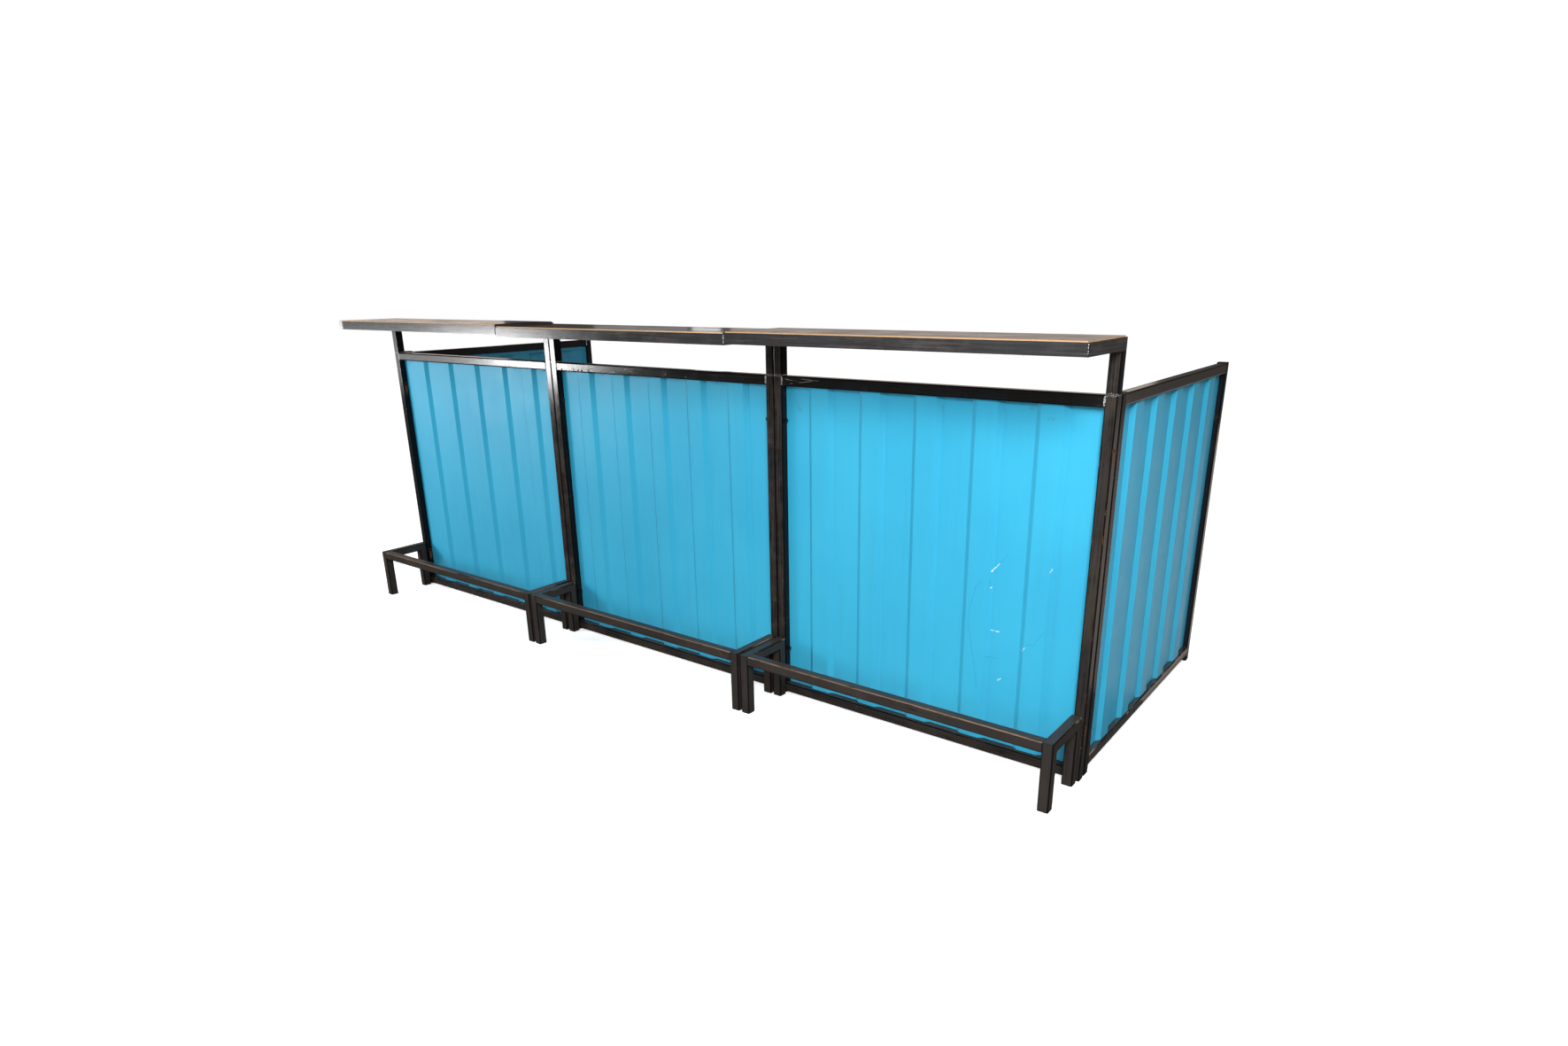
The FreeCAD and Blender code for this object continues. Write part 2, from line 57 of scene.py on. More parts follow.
# Photograph: its frame and the camera that its perspective gives
PHOTO_WIDTH = 1771.0
PHOTO_HEIGHT = 1181.0
FOCAL_PIXELS = 1036.64
CENTRE_PIXEL = (895.74, 679.60)
CAMERA_PLACE = Vector((2.1936, -2.5567, 1.2487))
CAMERA_HEADING = math.radians(37.246)
CAMERA_PITCH = math.radians(19.090)
CAMERA_ROLL = math.radians(-0.704)
SENSOR_WIDTH = 36.0

# Sizes read from the frame
post_low, post_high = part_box("module_1_left_post")
foot_rail_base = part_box("module_1_footrest_front_rail")[0].z
tube = post_high.x - post_low.x
panel_top = post_high.z
post_front = post_low.y
module_strip_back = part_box("sheet_strips")[1].y - post_front
module_prefixes = sorted(
    name.removesuffix("left_post") for name in nodes if name.endswith("left_post")
)

# Sizes of small features that the boxes don't give
HINGE_HEIGHT = 0.080
HINGE_LEAF = 0.0025
COUNTER_BEVEL = 0.001
COUPLING_HEIGHTS = (0.150, 0.870)
COUPLING_DEPTH = 0.013
COUPLING_HOLE_RADIUS = 0.0055


# Shader nodes

# Numbers of the Mix node's sockets, which have the same names for every kind of value
MIX_SHARE = 0
MIX_NUMBERS = (2, 3)
MIX_COLOURS = (6, 7)
MIX_NUMBER_OUT = 0
MIX_COLOUR_OUT = 2
# Solid cores of soft specks and spots, against their radius
SPECK_CORE = 0.6
SPOT_CORE = 0.55


class Shader:
    """Node tree of one new material, with short calls for the nodes that the finishes use."""

    def __init__(self, name):
        self.material = bpy.data.materials.new(name)
        self.material.use_nodes = True
        self.tree = self.material.node_tree
        self.surface = self.tree.nodes["Principled BSDF"]
        coordinates = self.node("ShaderNodeTexCoord").outputs
        self.place = coordinates["Object"]
        self.normal = coordinates["Normal"]
        self.x, self.y, self.z = self.split(self.place)

    def node(self, kind, inputs=None, **settings):
        """New node with its settings, and its inputs set or linked by name or number."""
        made = self.tree.nodes.new(kind)
        for key, value in settings.items():
            setattr(made, key, value)
        for key, value in (inputs or {}).items():
            self.put(made.inputs[key], value)
        return made

    def put(self, socket, value):
        """Link a socket to another one, or set its own value."""
        if isinstance(value, bpy.types.NodeSocket):
            self.tree.links.new(value, socket)
        else:
            socket.default_value = value

    def wear(self, **values):
        """Set or link the surface's own inputs, where a name's underscores stand for spaces."""
        for key, value in values.items():
            self.put(self.surface.inputs[key.replace("_", " ")], value)
        return self.material

    def split(self, vector):
        return self.node("ShaderNodeSeparateXYZ", {0: vector}).outputs

    def joined(self, x, y, z):
        return self.node("ShaderNodeCombineXYZ", {0: x, 1: y, 2: z}).outputs[0]

    def math(self, operation, first, second=0.0):
        made = self.node("ShaderNodeMath", {0: first, 1: second}, operation=operation)
        return made.outputs[0]

    def dot(self, first, second):
        made = self.node("ShaderNodeVectorMath", {0: first, 1: second}, operation="DOT_PRODUCT")
        return made.outputs["Value"]

    def offset(self, vector, origin):
        made = self.node("ShaderNodeVectorMath", {0: vector, 1: origin}, operation="SUBTRACT")
        return made.outputs[0]

    def times(self, first, second):
        return self.math("MULTIPLY", first, second)

    def plus(self, first, second):
        return self.math("ADD", first, second)

    def larger(self, first, second):
        return self.math("MAXIMUM", first, second)

    def step(self, value, low, high, start=0.0, end=1.0):
        """Smooth change from start to end while value goes from low to high."""
        inputs = {"Value": value, "From Min": low, "From Max": high, "To Min": start, "To Max": end}
        made = self.node("ShaderNodeMapRange", inputs, interpolation_type="SMOOTHSTEP")
        return made.outputs["Result"]

    def mix(self, share, first, second):
        """Colour between two colours."""
        inputs = {MIX_SHARE: share, MIX_COLOURS[0]: first, MIX_COLOURS[1]: second}
        return self.node("ShaderNodeMix", inputs, data_type="RGBA").outputs[MIX_COLOUR_OUT]

    def between(self, share, first, second):
        """Number between two numbers."""
        inputs = {MIX_SHARE: share, MIX_NUMBERS[0]: first, MIX_NUMBERS[1]: second}
        return self.node("ShaderNodeMix", inputs, data_type="FLOAT").outputs[MIX_NUMBER_OUT]

    def noise(self, vector, scale, detail=2.0, roughness=0.5):
        inputs = {"Vector": vector, "Scale": scale, "Detail": detail, "Roughness": roughness}
        return self.node("ShaderNodeTexNoise", inputs).outputs[0]

    def specks(self, vector, scale, share, size):
        """Scattered round specks: share of the cells that have one, size against the cell's."""
        made = self.node("ShaderNodeTexVoronoi", {"Vector": vector, "Scale": scale})
        chosen = self.math("LESS_THAN", self.split(made.outputs["Color"])[0], share)
        return self.times(chosen, self.step(made.outputs["Distance"], size, size * SPECK_CORE))

    def stretched(self, along, across, along_scale, across_scale):
        """Texture place that is drawn out lengthwise."""
        return self.joined(self.times(along, along_scale), self.times(across, across_scale), 0.0)

    def lengthwise(self, lie):
        """Coordinates along and across a tube: on one axis, round a counter or in a side frame."""
        if lie == "x":
            return self.x, self.plus(self.y, self.z)
        if lie == "y":
            return self.y, self.plus(self.x, self.z)
        if lie == "ring":
            return self.plus(self.x, self.y), self.z
        upright = self.z, self.plus(self.x, self.y)
        if lie == "z":
            return upright
        level = self.math("GREATER_THAN", self.z, foot_rail_base)
        rail = self.y, self.plus(self.x, self.z)
        return [self.between(level, leg, bar) for leg, bar in zip(upright, rail)]

    def largest_normal(self):
        """Largest part of the normal: 1 on faces square to the frame's axes, less on bends."""
        parts = [self.math("ABSOLUTE", part) for part in self.split(self.normal)]
        return self.larger(self.larger(parts[0], parts[1]), parts[2])

    def bump(self, height, depth, before=None):
        """Normal of a surface with a relief of that depth."""
        inputs = {"Height": height, "Distance": depth}
        if before is not None:
            inputs["Normal"] = before
        return self.node("ShaderNodeBump", inputs).outputs["Normal"]

    def spot(self, centre, radius):
        """1 near a point across the given pair of coordinates, 0 away from it."""
        offsets = [self.math("SUBTRACT", value, at) for value, at in centre]
        squares = [self.times(offset, offset) for offset in offsets]
        distance = self.math("SQRT", self.plus(squares[0], squares[1]))
        return self.step(distance, radius, radius * SPOT_CORE)

    def score(self, vector, points, width):
        """1 along a line through points in the X-Z plane, 0 away from it."""
        mask = None
        for (x0, z0), (x1, z1) in zip(points, points[1:]):
            run = Vector((x1 - x0, 0, z1 - z0))
            half = run.length / 2
            run.normalize()
            middle = Vector(((x0 + x1) / 2, 0, (z0 + z1) / 2))
            side = Vector((-run.z, 0, run.x))
            offset = self.offset(vector, middle)
            reach = [self.math("ABSOLUTE", self.dot(offset, axis)) for axis in (run, side)]
            distance = self.larger(self.math("SUBTRACT", reach[0], half), reach[1])
            line = self.step(distance, width / 2, width / 4)
            mask = line if mask is None else self.larger(mask, line)
        return mask


# Steel

# Dark, brown and blue mill scale
RAIL_TONES = (
    (0.0085, 0.0080, 0.0080, 1),
    (0.041, 0.034, 0.029, 1),
    (0.0100, 0.0120, 0.0155, 1),
)
ANGLE_TONES = (
    (0.028, 0.027, 0.0265, 1),
    (0.060, 0.056, 0.054, 1),
    (0.030, 0.033, 0.037, 1),
)
# Near-black painted shade for the tubes' bends and side faces
STEEL_PAINTED_SHADE = (0.0035, 0.0032, 0.0030, 1)
STEEL_BARE = (0.42, 0.41, 0.40, 1)
STEEL_GROUND = (0.70, 0.69, 0.67, 1)
STEEL_WORN_AND_HIGHLIT = (0.17, 0.115, 0.080, 1)
RUST_LIGHT = (0.30, 0.105, 0.032, 1)
RUST_DARK = (0.10, 0.034, 0.014, 1)
DUST_GREY = (0.13, 0.12, 0.11, 1)
# Largest part of the normal where a tube's flat face ends and where its bend is full
FLAT_NORMAL = 0.998
BENT_NORMAL = 0.97
# Specular level of bends, and the share of any level that dark sides and rust keep
BEND_SHINE = 0.10
SIDE_SHINE = 0.4
RUST_SHINE = 0.15
SCRATCH_WIDTH = 0.0016
# Ground seam at a panel's top: half its height, the solid part of that, and its ragged edge
SEAM_REACH = 0.0105
SEAM_CORE = 0.0075
SEAM_RAGGED = 0.012
# Rust ring at a coupling hole, against the hole's radius, and the run below it down and sideways
STAIN_RING = 1.8
RUN_START = 0.006
RUN_FADE = 0.014
RUN_END = 0.052
RUN_CORE = 0.002
RUN_SIDE = 0.006


def coupling_stains(s, flecks):
    """Rust round each coupling hole and in the run below it."""
    depth = post_front + COUPLING_DEPTH
    sidewise = s.math("ABSOLUTE", s.math("SUBTRACT", s.y, depth))
    for height in COUPLING_HEIGHTS:
        ring = s.spot(((s.y, depth), (s.z, height)), COUPLING_HOLE_RADIUS * STAIN_RING)
        drop = s.math("SUBTRACT", height, s.z)
        run = s.times(s.step(drop, 0.0, RUN_START), s.step(drop, RUN_END, RUN_FADE))
        run = s.times(run, s.step(sidewise, RUN_SIDE, RUN_CORE))
        yield s.times(s.larger(ring, run), s.step(flecks, 0.36, 0.54))


def bare_marks(s, drawn, blotch, grain, ground, spots, scratches):
    """Bare steel: drawn lines, the ground seam at a panel's top, spots and scratches."""
    bare = s.times(s.times(s.step(drawn, 0.70, 0.78), s.step(blotch, 0.52, 0.66)), 0.5)
    if ground:
        above = s.math("ABSOLUTE", s.math("SUBTRACT", s.z, panel_top))
        seam = s.step(s.plus(above, s.times(blotch, SEAM_RAGGED)), SEAM_REACH, SEAM_CORE)
        bare = s.larger(bare, s.times(seam, s.step(grain, 0.50, 0.62)))
    for x, z, radius in spots:
        bare = s.larger(bare, s.spot(((s.x, x), (s.z, z)), radius))
    for points in scratches:
        scratch = s.score(s.place, points, SCRATCH_WIDTH)
        bare = s.larger(bare, s.times(scratch, s.step(blotch, 0.35, 0.55)))
    return bare


def rust_marks(s, flecks, largest, amount, stains, spots):
    """Rust near the bends, at the coupling holes and in spots."""
    patches = s.noise(s.place, 7.0, 2.0)
    near_bend = s.step(largest, 1.0, BENT_NORMAL)
    limit = 1.02 - amount * 0.3
    rusty = s.times(near_bend, s.step(s.plus(flecks, s.times(patches, 0.5)), limit, limit + 0.08))
    if stains:
        for stain in coupling_stains(s, flecks):
            rusty = s.larger(rusty, stain)
    for x, z, radius in spots:
        rusty = s.larger(rusty, s.spot(((s.x, x), (s.z, z)), radius))
    return rusty


def steel(name, lie, brown=0.25, rust=0.0, worn_and_highlit=0.0, stains=False, ground=False, tones=RAIL_TONES,
          rust_spots=(), bare_spots=(), scratches=(), patch=None, shine=0.38, dull=0.045,
          painted_shade_sides=False):
    """Oiled mill-scale steel: lengthwise streaks, blue scale, scratches and rust, with bends
    painted near black as painted shade.

    lie is the way its length goes. brown, rust and worn_and_highlit are amounts of brown scale, of
    rust and of lighter upper edges, partly rubbed wear and partly painted highlight. stains rusts
    the coupling holes, and ground brightens the panel's top seam.
    shine is the specular level of flat faces, and dull their least roughness. painted_shade_sides
    darkens the faces to the left and right as painted shade.
    """
    s = Shader(name)
    dark_tone, brown_tone, blue_tone = tones
    along, across = s.lengthwise(lie)
    streak = s.noise(s.stretched(along, across, 5.0, 260.0), 1.0, 4.0, 0.6)
    drawn = s.noise(s.stretched(along, across, 26.0, 900.0), 1.0, 3.0, 0.6)
    blotch = s.noise(s.place, 24.0, 5.0, 0.62)
    cloud = s.noise(s.place, 4.5, 3.0)
    grain = s.noise(s.place, 520.0, 2.0)
    largest = s.largest_normal()

    browned = s.plus(streak, s.times(blotch, 0.4))
    colour = s.mix(s.step(browned, 0.86 - brown, 1.12 - brown), dark_tone, brown_tone)
    colour = s.mix(s.times(s.step(cloud, 0.44, 0.62), 0.75 - brown), colour, blue_tone)
    polish = s.step(largest, FLAT_NORMAL, BENT_NORMAL, shine, BEND_SHINE)
    # Side faces painted dark: painted shade on the faces that turn left and right.
    if painted_shade_sides:
        flank = s.step(s.math("ABSOLUTE", s.split(s.normal)[0]), 0.6, 0.9)
        colour = s.mix(s.times(flank, 0.85), colour, STEEL_PAINTED_SHADE)
        polish = s.times(polish, s.step(flank, 0.0, 1.0, 1.0, SIDE_SHINE))
    bend = s.step(largest, FLAT_NORMAL, BENT_NORMAL)
    # Upper bends lighter brown: partly rubbed wear, partly a painted highlight on edges that face
    # up.
    rim = s.times(s.step(largest, 0.992, 0.95), s.step(s.split(s.normal)[2], 0.15, 0.40))
    uneven = s.plus(streak, s.times(blotch, 0.5))
    rubbed = s.times(rim, s.step(uneven, 1.02 - worn_and_highlit * 0.5, 1.16 - worn_and_highlit * 0.5))
    # Bends painted near black: painted shade and painted dark reflection on the tubes' rounded
    # corners.
    colour = s.mix(s.times(bend, 0.9), colour, STEEL_PAINTED_SHADE)
    colour = s.mix(rubbed, colour, STEEL_WORN_AND_HIGHLIT)

    bright = bare_marks(s, drawn, blotch, grain, ground, bare_spots, scratches)
    if patch is not None:
        near = s.spot(((s.x, patch[0]), (s.y, patch[1])), patch[2])
        near = s.times(near, s.step(drawn, 0.30, 0.50))
        colour = s.mix(near, colour, STEEL_GROUND)
    colour = s.mix(bright, colour, STEEL_BARE)

    flecks = s.noise(s.stretched(along, across, 34.0, 420.0), 1.0, 4.0, 0.65)
    rusty = rust_marks(s, flecks, largest, rust, stains, rust_spots)
    colour = s.mix(rusty, colour, s.mix(s.step(grain, 0.4, 0.6), RUST_DARK, RUST_LIGHT))
    dusty = s.times(s.step(blotch, 0.60, 0.72), s.step(grain, 0.52, 0.66))
    colour = s.mix(s.times(dusty, 0.35), colour, DUST_GREY)

    gloss = s.plus(s.times(blotch, 0.13), s.times(streak, 0.09))
    relief = s.plus(s.times(grain, 0.5), s.plus(s.times(drawn, 0.6), s.times(rusty, 0.8)))
    return s.wear(
        Base_Color=colour,
        Metallic=s.times(bright, 0.5),
        Roughness=s.plus(s.plus(gloss, dull), s.times(rusty, 0.40)),
        Normal=s.bump(relief, 0.00010),
        Specular_IOR_Level=s.times(polish, s.step(rusty, 0.0, 1.0, 1.0, RUST_SHINE)),
    )


WELD_SCALE = (0.10, 0.098, 0.098, 1)
WELD_STRAW = (0.16, 0.125, 0.095, 1)
WELD_BLUE = (0.10, 0.13, 0.19, 1)
WELD_LOW_DARK = (0.020, 0.017, 0.015, 1)
WELD_BARE = (0.86, 0.86, 0.85, 1)
# Heights over the floor up to which beads are darkest, and from which they keep their full colour
WELD_DARK_TOP = 0.40
WELD_FULL_BASE = 0.70


def weld_metal():
    """Weld bead: scale with straw and blue tints, bright spots high up, and darker and duller
    towards the floor.
    """
    s = Shader("weld_metal")
    tint = s.noise(s.place, 95.0, 3.0)
    slag = s.noise(s.place, 430.0, 2.0)
    fine = s.noise(s.place, 1500.0, 1.0)
    raised = s.step(s.z, WELD_DARK_TOP, WELD_FULL_BASE)
    colour = s.mix(s.step(tint, 0.42, 0.56), WELD_SCALE, WELD_STRAW)
    colour = s.mix(s.step(tint, 0.60, 0.70), colour, WELD_BLUE)
    colour = s.mix(raised, WELD_LOW_DARK, colour)
    bare = s.times(s.step(s.plus(slag, s.times(fine, 0.3)), 0.60, 0.70), raised)
    return s.wear(
        Base_Color=s.mix(bare, colour, WELD_BARE),
        Metallic=s.times(s.between(bare, 0.85, 0.35), raised),
        Roughness=s.step(slag, 0.3, 0.7, 0.30, 0.48),
        Normal=s.bump(slag, 0.00012),
    )


ZINC_GREY = (0.045, 0.046, 0.048, 1)
ZINC_BROWN = (0.075, 0.062, 0.048, 1)
ZINC_RUBBED = (0.32, 0.32, 0.31, 1)


def zinc():
    """Fastener with black passivated zinc: deep grey with brown tints and rubbed spots."""
    s = Shader("zinc_fasteners")
    tint = s.noise(s.place, 60.0, 3.0)
    rubbed = s.noise(s.place, 380.0, 3.0)
    colour = s.mix(s.step(tint, 0.45, 0.65), ZINC_GREY, ZINC_BROWN)
    colour = s.mix(s.times(s.step(rubbed, 0.62, 0.76), 0.6), colour, ZINC_RUBBED)
    return s.wear(
        Base_Color=colour,
        Metallic=0.9,
        Roughness=s.step(rubbed, 0.3, 0.7, 0.30, 0.50),
        Normal=s.bump(rubbed, 0.00006),
    )


HINGE_DULL = (0.20, 0.195, 0.19, 1)
HINGE_BRIGHT = (0.36, 0.355, 0.35, 1)
HINGE_OIL = (0.07, 0.062, 0.055, 1)


def hinge_steel():
    """Plain bright hinge steel: brushed upright, with dark oil and a few rust specks."""
    s = Shader("hinge_steel")
    along, across = s.lengthwise("z")
    brushed = s.noise(s.stretched(along, across, 40.0, 1400.0), 1.0, 3.0)
    oil = s.noise(s.place, 45.0, 3.0)
    colour = s.mix(s.step(brushed, 0.35, 0.65), HINGE_DULL, HINGE_BRIGHT)
    colour = s.mix(s.step(oil, 0.50, 0.70), colour, HINGE_OIL)
    colour = s.mix(s.specks(s.place, 260.0, 0.05, 0.35), colour, RUST_DARK)
    return s.wear(
        Base_Color=colour,
        Metallic=0.9,
        Roughness=s.step(oil, 0.3, 0.7, 0.40, 0.26),
        Normal=s.bump(brushed, 0.00008),
    )


# Paint, board and plastic

PAINT_LIGHT = (0.040, 0.405, 0.622, 1)
PAINT_DEEP = (0.034, 0.372, 0.588, 1)
PAINT_BACK_SHADE = (0.020, 0.200, 0.310, 1)
PAINT_GRIME = (0.060, 0.215, 0.310, 1)
PAINT_SCORED = (0.010, 0.230, 0.480, 1)
PAINT_CHIPPED = (0.86, 0.87, 0.87, 1)

# Marks on the right module's sheet, read from the photograph through its camera to the millimetre:
# points across and up, from the middle of the bar
CHIPS = [
    [(1.209, 0.525), (1.229, 0.548)],
    [(1.210, 0.477), (1.212, 0.481)],
    [(1.214, 0.360), (1.222, 0.359)],
    [(1.229, 0.359), (1.239, 0.359)],
    [(1.313, 0.325), (1.318, 0.335)],
    [(1.244, 0.218), (1.253, 0.226)],
    [(1.370, 0.550), (1.376, 0.562)],
]
SCORES = [
    [(1.229, 0.548), (1.250, 0.576)],
    [(1.184, 0.496), (1.169, 0.476), (1.156, 0.419), (1.154, 0.363), (1.165, 0.310),
     (1.178, 0.248), (1.188, 0.185)],
    [(1.317, 0.337), (1.328, 0.345), (1.345, 0.347), (1.353, 0.368), (1.366, 0.387)],
    [(1.207, 0.281), (1.239, 0.281)],
    [(1.253, 0.226), (1.261, 0.229)],
    [(1.206, 0.502), (1.210, 0.480)],
]
SMEARS = [
    [(0.561, 0.932), (0.580, 0.903)],
    [(1.285, 0.956), (1.310, 0.955)],
    [(1.330, 0.935), (1.360, 0.933)],
    [(1.042, 0.940), (1.050, 0.925)],
]
SMEAR_WIDTH = 0.0120
CHIP_WIDTH = 0.0024
SCORE_WIDTH = 0.0018
MARK_SHAKE = 0.0035
FOOT_GRIME_TOP = 0.20
FOOT_GRIME_FULL = 0.03


def painted_sheet(name, back, chips=(), scores=(), smears=()):
    """Coil-coated sheet: satin blue with dust, grime and some chips, and a darker blue on its back
    as painted shade.
    """
    s = Shader(name)
    across = s.plus(s.x, s.y)
    cloud = s.noise(s.place, 2.4, 3.0)
    streak = s.noise(s.stretched(s.z, across, 1.3, 46.0), 1.0, 4.0, 0.6)
    dust = s.noise(s.place, 17.0, 5.0, 0.65)
    peel = s.noise(s.place, 760.0, 1.0)
    sway = s.noise(s.stretched(s.z, across, 2.2, 7.0), 1.0, 1.0)

    colour = s.mix(s.step(cloud, 0.32, 0.68), PAINT_DEEP, PAINT_LIGHT)
    # Faces that turn to the back get a darker blue: painted shade on the sheets' inner sides.
    colour = s.mix(s.step(s.dot(s.normal, back), -0.1, 0.1), colour, PAINT_BACK_SHADE)
    colour = s.mix(s.times(s.step(streak, 0.50, 0.78), 0.16), colour, PAINT_GRIME)
    foot = s.times(s.step(s.z, FOOT_GRIME_TOP, FOOT_GRIME_FULL), s.step(dust, 0.36, 0.66))
    colour = s.mix(s.times(foot, 0.30), colour, PAINT_GRIME)
    wobble = s.node("ShaderNodeTexNoise", {"Vector": s.place, "Scale": 130.0, "Detail": 1.0})
    shake = Vector((MARK_SHAKE, 0.0, MARK_SHAKE))
    inputs = {0: wobble.outputs["Color"], 1: shake, 2: s.place}
    shaken = s.node("ShaderNodeVectorMath", inputs, operation="MULTIPLY_ADD").outputs[0]
    marked = s.offset(shaken, shake / 2)
    relief = s.times(peel, 0.12)
    for points in smears:
        smear = s.times(s.score(marked, points, SMEAR_WIDTH), s.step(streak, 0.44, 0.62))
        colour = s.mix(s.times(smear, 0.6), colour, PAINT_GRIME)
    for points in scores:
        line = s.score(marked, points, SCORE_WIDTH)
        colour = s.mix(s.times(line, 0.75), colour, PAINT_SCORED)
        relief = s.math("SUBTRACT", relief, line)
    chipped = s.specks(s.place, 11.0, 0.020, 0.016)
    for points in chips:
        broken = s.step(s.noise(s.place, 240.0, 2.0), 0.36, 0.50)
        chipped = s.larger(chipped, s.times(s.score(marked, points, CHIP_WIDTH), broken))
    colour = s.mix(chipped, colour, PAINT_CHIPPED)
    relief = s.math("SUBTRACT", relief, chipped)
    roughness = s.plus(s.step(dust, 0.3, 0.7, 0.40, 0.48), s.times(chipped, 0.3))
    wavy = s.bump(sway, 0.0003)
    return s.wear(
        Base_Color=colour,
        Roughness=roughness,
        Normal=s.bump(relief, 0.00015, wavy),
        Specular_IOR_Level=0.5,
    )


FILM_DARK = (0.020, 0.013, 0.010, 1)
FILM_BROWN = (0.050, 0.032, 0.022, 1)
FILM_SCUFF = (0.16, 0.13, 0.11, 1)
PLY_PALE = (0.66, 0.43, 0.24, 1)
PLY_DARK = (0.34, 0.18, 0.085, 1)
PLY_LAYER = 0.0028


def board(name, sealed):
    """Film-faced plywood: dark brown film, pale plies on sawn edges, dark ends where sealed."""
    s = Shader(name)
    facing = [s.math("ABSOLUTE", part) for part in s.split(s.normal)]
    film = s.step(facing[2], 0.5, 0.8)
    if sealed:
        film = s.larger(film, s.step(facing[0], 0.5, 0.8))
    cloud = s.noise(s.place, 9.0, 4.0)
    scuffed = s.noise(s.stretched(s.x, s.y, 12.0, 420.0), 1.0, 4.0, 0.65)
    fibre = s.noise(s.stretched(s.plus(s.x, s.y), s.z, 60.0, 1500.0), 1.0, 3.0)
    film_colour = s.mix(s.step(cloud, 0.35, 0.65), FILM_DARK, FILM_BROWN)
    film_colour = s.mix(s.times(s.step(scuffed, 0.64, 0.76), 0.5), film_colour, FILM_SCUFF)
    layer = s.math("FRACT", s.times(s.z, 0.5 / PLY_LAYER))
    ply = s.mix(s.times(s.step(layer, 0.46, 0.54), 0.55), PLY_PALE, PLY_DARK)
    ply = s.mix(s.times(s.step(fibre, 0.50, 0.75), 0.4), ply, PLY_DARK)
    film_gloss = s.step(cloud, 0.3, 0.7, 0.14, 0.24)
    film_gloss = s.plus(film_gloss, s.times(s.step(scuffed, 0.6, 0.8), 0.2))
    return s.wear(
        Base_Color=s.mix(film, ply, film_colour),
        Roughness=s.between(film, 0.7, film_gloss),
        Normal=s.bump(s.between(film, fibre, scuffed), 0.00005),
    )


CAP_BLACK = (0.012, 0.012, 0.012, 1)
CAP_DUST = (0.045, 0.042, 0.038, 1)


def plastic():
    """Moulded black end cap: fine spark texture, dusty and scuffed."""
    s = Shader("cap_plastic")
    spark = s.noise(s.place, 1500.0, 2.0)
    dust = s.noise(s.place, 85.0, 4.0)
    colour = s.mix(s.step(dust, 0.45, 0.70), CAP_BLACK, CAP_DUST)
    return s.wear(
        Base_Color=colour,
        Roughness=s.step(dust, 0.3, 0.7, 0.42, 0.62),
        Normal=s.bump(spark, 0.00006),
    )


# Finishes of the nodes

# Rust spots in a row on the middle module's top rail: across, up and radius
RAIL_SPOTS = [
    (-0.443, 0.976, 0.0046),
    (-0.380, 0.979, 0.0038),
    (-0.357, 0.976, 0.0050),
    (-0.337, 0.977, 0.0038),
    (-0.303, 0.979, 0.0050),
    (-0.240, 0.978, 0.0036),
    (0.063, 0.982, 0.0042),
]
# Bare spots on the same rail, and scratches on the right module's one
BARE_SPOTS = [
    (-0.178, 0.978, 0.0024),
    (-0.122, 0.990, 0.0022),
    (0.150, 0.977, 0.0024),
]
RAIL_SCRATCHES = [
    [(0.545, 0.9905), (0.600, 0.9845)],
    [(0.560, 0.9785), (0.640, 0.9890)],
    [(0.602, 0.9935), (0.662, 0.9905)],
]
# Ground weld on the front left corner of the left counter: across, along and reach
CORNER_PATCH = (cad_low.x, cad_low.y, 0.032)


